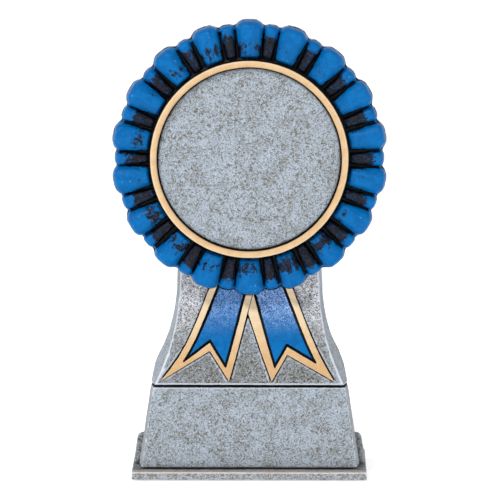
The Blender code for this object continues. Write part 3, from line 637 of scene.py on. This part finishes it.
def build_tails():
    for number, side in enumerate(("left", "right")):
        mesh = cast_copy(f"tail_trim_{side}", 0.24 * MM)
        weather(mesh, f"tail_trim_{side}", 31 + number, 0.12 * MM, 0.04 * MM, 3 * MM)
        z = points_of(mesh)[:, 2]
        if side == "right":
            close_crossing(mesh)
        # Painted light: the trim grows paler higher up, where it tilts up to the light.
        ribbon_masks(mesh, TRIM_PROUD, pale=smoothstep(38 * MM, 60 * MM, z))
        add_piece(f"tail_trim_{side}_painted", mesh, GOLD, "gold_paint", f"tail_trim_{side}")
        mesh = cast_copy(f"tail_{side}", 0.3 * MM)
        points, normals = points_of(mesh), normals_of(mesh)
        upper = smoothstep(49 * MM, 62 * MM, points[:, 2])
        crinkle = 0.5 + 0.5 * rough_noise(points, 1.8 * MM, 41 + number)
        points -= normals * (crinkle * (0.08 + 0.22 * upper) * MM)[:, None]
        move_points(mesh, keep_inside(f"tail_{side}", points))
        # Painted light and shade on the crinkled upper part of each field, stronger on the right tail.
        ribbon_masks(mesh, FIELD_PROUD, fleck=upper * (0.8 + 0.45 * number))
        add_piece(f"tail_{side}_painted", mesh, BLUE, "blue_paint", f"tail_{side}")


# ---------------------------------------------------------------- the rosette


def build_pleat_ring():
    """Round-ended pillows, one wide and one narrow to each pitch, with deep folds between them."""
    random = np.random.default_rng(5)
    around, across = 1080, 46
    turns = np.arange(around) / around * PLEAT_COUNT
    angle = (turns / PLEAT_COUNT * 2 * math.pi)[:, None]
    big = np.floor(turns + 0.5).astype(int) % PLEAT_COUNT
    small = np.floor(turns).astype(int) % PLEAT_COUNT
    phase = turns - np.floor(turns + 0.5)
    width = 1 + 0.07 * random.uniform(-1, 1, (2, PLEAT_COUNT))
    shift = 0.012 * random.uniform(-1, 1, (2, PLEAT_COUNT))
    height = 1 - 0.12 * random.uniform(0, 1, (2, PLEAT_COUNT))
    scuffs = random.uniform(0.25, 1.0, (2, PLEAT_COUNT))
    share = (np.arange(across) / (across - 1))[None, :] ** 0.9
    big_half = mix(*BIG_HALF, share) * width[0][big][:, None]
    small_half = mix(*SMALL_HALF, share) * width[1][small][:, None]
    off_big = np.abs(phase - shift[0][big])[:, None] / big_half
    off_small = np.abs(np.mod(turns, 1) - 0.5 - shift[1][small])[:, None] / small_half
    on_big = off_big < 1
    off = np.where(on_big, off_big, off_small)
    in_fold = np.minimum(off, 1)
    top = np.where(on_big, BIG_RADIUS, SMALL_RADIUS)[:, -1:]
    edge = top - (top - GAP_RADIUS) * in_fold[:, -1:] ** 4
    crest = np.where(on_big, BIG_CREST * height[0][big][:, None], SMALL_CREST * height[1][small][:, None])
    radius = PLEAT_INNER + (edge - PLEAT_INNER) * share
    dome = np.sqrt(1 - in_fold**4) * (1 - 0.12 * in_fold**2)
    inner = smoothstep(-0.03, 0.07, share - 0.03 * in_fold**6)
    body = 0.74 + 0.26 * np.sin(math.pi / 2 * np.minimum(1, share / 0.7))
    roll = np.sqrt(np.clip(1 - (np.maximum(0, share - 0.84) / 0.16) ** 2.5, 0, 1))
    rise = (0.12 + 0.88 * inner) * body * roll
    lift = GAP_FLOOR * (0.25 + 0.75 * roll) + (crest - GAP_FLOOR) * dome * rise
    fold = np.sin(phase[:, None] * 46 + 3 * scuffs[0][big][:, None]) * 0.07 * dome * body
    lift = np.maximum(lift + fold, 0.15)

    skin = on_rosette(radius, angle, lift)
    back_rim = on_rosette(edge[:, 0], angle[:, 0], 0.0)[:, None]
    bore_back = on_rosette(np.full(around, PLEAT_RING_BORE), angle[:, 0], 0.0)[:, None]
    bore_front = on_rosette(np.full(around, PLEAT_RING_BORE), angle[:, 0], FLANGE_HEIGHT)[:, None]
    flange_edge = on_rosette(np.full(around, FLANGE_EDGE), angle[:, 0], FLANGE_HEIGHT)[:, None]
    grid = np.concatenate([bore_back, bore_front, flange_edge, skin, back_rim], axis=1)
    mesh = grid_mesh("pleat_ring_painted", grid)

    pitch = 2 * math.pi / PLEAT_COUNT * radius
    inside = (1 - off) * np.where(on_big, big_half, small_half) * pitch
    reach = mix(0.5, 0.12, np.clip(share / 0.7, 0, 1)) + np.where(on_big, 0, 0.15)
    reach -= 1.6 * smoothstep(0.9, 0.98, share)
    reach += 0.3 * rough_noise(skin.reshape(-1, 3), 2.2 * MM, 52).reshape(around, across)
    round_bezel = PLEAT_INNER + 0.2 + 0.3 * in_fold**6 - radius
    lining = 0.5 + 0.6 * np.maximum(reach - inside, round_bezel)
    scuff_big = scuffs[0][big][:, None] * smoothstep(0.75, 0.3, share) * smoothstep(-0.15, 0.3, share)
    scuff_small = mix(0.85, 1.05, scuffs[1][small][:, None]) * smoothstep(0.98, 0.5, share)
    scuff = np.where(on_big, 0.74 * scuff_big, scuff_small)
    scuff += 0.12 * smoothstep(-0.3, -0.8, np.cos(angle)) * (share < 0.8)
    brush_path = np.broadcast_arrays(
        np.cos(angle) * BRUSH_RADIUS, np.sin(angle) * BRUSH_RADIUS, radius * 0.16 * MM
    )
    streaks = rough_noise(np.stack(brush_path, axis=-1).reshape(-1, 3), 0.9 * MM, 53)
    scuff += 0.3 * streaks.reshape(around, across) * smoothstep(0.95, 0.6, share)
    black = np.ones((around, 3))
    store(
        mesh,
        lining=np.concatenate([black, np.clip(lining, 0, 1), np.zeros((around, 1))], axis=1).ravel(),
        scuff=np.concatenate([black * 0, scuff, np.zeros((around, 1))], axis=1).ravel(),
    )
    points, normals = points_of(mesh), normals_of(mesh)
    dents = 0.5 + 0.5 * rough_noise(points, 3 * MM, 51)
    shown = np.concatenate([black * 0, np.ones((around, across)), np.zeros((around, 1))], axis=1).ravel()
    points -= normals * (0.22 * MM * dents * shown)[:, None]
    move_points(mesh, keep_inside("pleat_ring", points))
    facing_lamp = normals_of(mesh) @ np.array(LAMP_SIDE)
    store(mesh, glint=smoothstep(0.62, 0.88, facing_lamp) * shown)
    add_piece("pleat_ring_painted", mesh, BLUE, "blue_paint", "pleat_ring")


def build_bezel_ring():
    """A turned ring with rounded front corners, a little uneven under its paint."""
    around = 720
    corner = np.linspace(0, math.pi / 2, 7)
    rounding = 0.95
    inner = BEZEL_INNER + rounding * (1 - np.cos(corner)), BEZEL_HEIGHT - rounding * (1 - np.sin(corner))
    outer = BEZEL_OUTER - rounding * (1 - np.cos(corner)), BEZEL_HEIGHT - rounding * (1 - np.sin(corner))
    wall = np.linspace(0, BEZEL_HEIGHT - rounding, 6)[:-1]
    middle = np.linspace(inner[0][-1], outer[0][-1], 4)[1:-1]
    radius = np.concatenate(
        [np.full(5, BEZEL_INNER), inner[0], middle, outer[0][::-1], np.full(5, BEZEL_OUTER)]
    )
    lift = np.concatenate([wall, inner[1], np.full(2, BEZEL_HEIGHT), outer[1][::-1], wall[::-1]])
    angle = (np.arange(around) / around * 2 * math.pi)[:, None]
    above_back = (RING_BACK_Y - BEZEL_BACK_Y) / MM
    grid = on_rosette(radius[None, :], angle, above_back + lift[None, :])
    mesh = grid_mesh("bezel_ring_painted", grid)
    depth = np.broadcast_to(BEZEL_HEIGHT - lift, (around, len(lift))).ravel()
    across = (radius - BEZEL_INNER) / (BEZEL_OUTER - BEZEL_INNER)
    across = np.broadcast_to(across, (around, len(lift))).ravel()
    points, normals = points_of(mesh), normals_of(mesh)
    wear = 0.5 + 0.5 * rough_noise(points, 2.5 * MM, 61)
    points -= normals * (0.12 * MM * wear)[:, None]
    move_points(mesh, keep_inside("bezel_ring", points))
    # Painted highlight: paler towards the outer edge, with a pale line along the outer front corner.
    store(
        mesh,
        lining=np.where(across > 0.5, smoothstep(0.15, 0.6, depth), smoothstep(0.4, 0.85, depth)),
        pale=0.24 + 0.15 * across,
        crest=smoothstep(0.5, 0.85, across) * smoothstep(0.8, 0.2, depth),
    )
    add_piece("bezel_ring_painted", mesh, GOLD, "gold_paint", "bezel_ring")


def build_centre_disc():
    """The plaque that fills the bezel, its face slightly uneven and its rim eased."""
    around, rings = 540, 100
    angle = (np.arange(around) / around * 2 * math.pi)[:, None]
    face_radius = DISC_RADIUS * np.linspace(DISC_MIDDLE_SHARE, 1, rings)
    lift = DISC_THICKNESS - 0.5 * smoothstep(DISC_RADIUS - 0.6, DISC_RADIUS, face_radius)
    radius = np.concatenate([face_radius, [DISC_RADIUS, DISC_MIDDLE_SHARE * DISC_RADIUS]])
    lift = np.concatenate([lift, [0.0, 0.0]])
    above_back = (RING_BACK_Y - BEZEL_BACK_Y) / MM
    grid = on_rosette(radius[None, :], angle, above_back + lift[None, :])
    mesh = bpy.data.meshes.new("centre_disc_cast")
    bm = bmesh.new()
    rows = [[bm.verts.new(point) for point in line] for line in grid]
    for line, following in zip(rows, rows[1:] + rows[:1]):
        for k in range(len(radius) - 1):
            bm.faces.new((line[k], line[k + 1], following[k + 1], following[k]))
    bm.faces.new([line[0] for line in reversed(rows)])
    bm.faces.new([line[-1] for line in rows])
    bmesh.ops.recalc_face_normals(bm, faces=bm.faces)
    bm.to_mesh(mesh)
    bm.free()
    weather(mesh, "centre_disc", 71, 0.1 * MM, 0.07 * MM)
    rim = np.hypot(points_of(mesh)[:, 0], points_of(mesh)[:, 2] - CENTRE_Z) / MM
    store(mesh, hollow=0.75 * smoothstep(DISC_RADIUS - 0.6, DISC_RADIUS - 0.1, rim))
    add_piece("centre_disc_cast", mesh, STONE, "stone_resin", "centre_disc")


# ---------------------------------------------------------------- hardware kept from the CAD model


def finish_hardware():
    for node, material in (
        ("base_bolt", STEEL),
        ("base_washer", STEEL),
        ("rosette_dowel_upper", STEEL),
        ("rosette_dowel_lower", STEEL),
        ("column_insert", BRASS),
    ):
        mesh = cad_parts[node].data
        mesh.materials.clear()
        mesh.materials.append(material)


# ---------------------------------------------------------------- studio


def build_floor():
    """A wide pale dish: flat under the object, curving up far away on every side."""
    profile = [(0.0, 0.0), (0.4, 0.0), (1.2, 0.0), (2.6, 0.0)]
    profile += [
        (2.6 + 1.2 * math.sin(a), 1.2 * (1 - math.cos(a))) for a in np.linspace(0.15, math.pi / 2, 10)
    ]
    bm = bmesh.new()
    line = [bm.verts.new((radius, 0, height - FLOOR_DROP)) for radius, height in profile]
    edges = [bm.edges.new(pair) for pair in zip(line, line[1:])]
    bmesh.ops.spin(
        bm, geom=line + edges, cent=(0, 0, 0), axis=(0, 0, 1), angle=2 * math.pi, steps=96, use_merge=True
    )
    bmesh.ops.remove_doubles(bm, verts=bm.verts, dist=1e-6)
    bmesh.ops.recalc_face_normals(bm, faces=bm.faces)
    mesh = bpy.data.meshes.new("studio_floor")
    bm.to_mesh(mesh)
    bm.free()
    mesh.materials.append(floor_finish())
    mesh.shade_smooth()
    floor = bpy.data.objects.new("studio_floor", mesh)
    bpy.context.scene.collection.objects.link(floor)


def add_lamp(name, place, size, power):
    data = bpy.data.lights.new(name, "AREA")
    data.shape = "DISK"
    data.size = size
    data.energy = power
    lamp = bpy.data.objects.new(name, data)
    lamp.location = place
    lamp.rotation_mode = "QUATERNION"
    lamp.rotation_quaternion = (CAMERA_AIM - Vector(place)).to_track_quat("-Z", "Y")
    lamp.visible_camera = False
    bpy.context.scene.collection.objects.link(lamp)


def light_studio():
    world = bpy.data.worlds.new("studio")
    world.use_nodes = True
    world.node_tree.nodes["Background"].inputs["Color"].default_value = (1.0, 1.0, 1.0, 1.0)
    world.node_tree.nodes["Background"].inputs["Strength"].default_value = SKY_STRENGTH
    bpy.context.scene.world = world
    add_lamp("key", KEY_PLACE, KEY_SIZE, KEY_POWER)
    bpy.context.scene.view_settings.view_transform = "Standard"


def place_camera():
    camera = bpy.data.objects.new("camera", bpy.data.cameras.new("camera"))
    bpy.context.scene.collection.objects.link(camera)
    azimuth, elevation = math.radians(CAMERA_AZIMUTH), math.radians(CAMERA_ELEVATION)
    back = Vector(
        (
            math.sin(azimuth) * math.cos(elevation),
            -math.cos(azimuth) * math.cos(elevation),
            math.sin(elevation),
        )
    )
    camera.location = CAMERA_AIM + back * CAMERA_DISTANCE
    camera.rotation_mode = "QUATERNION"
    camera.rotation_quaternion = (-back).to_track_quat("-Z", "Y")
    camera.data.lens = CAMERA_LENS
    camera.data.clip_start = 0.05
    camera.data.clip_end = 50.0
    bpy.context.scene.camera = camera


STONE = stone_finish()
BLUE = blue_finish()
GOLD = gold_finish()
FELT = felt_finish()
STEEL = metal_finish("steel", (0.62, 0.62, 0.64), (0.45, 0.44, 0.43), 0.32)
BRASS = metal_finish("brass", (0.72, 0.53, 0.24), (0.5, 0.34, 0.14), 0.36)

build_foot_plate()
build_rear_plinth()
build_nameplate_block()
build_column()
build_backing_disc()
build_felt_pad()
build_tails()
build_pleat_ring()
build_bezel_ring()
build_centre_disc()
finish_hardware()
build_floor()
light_studio()
place_camera()
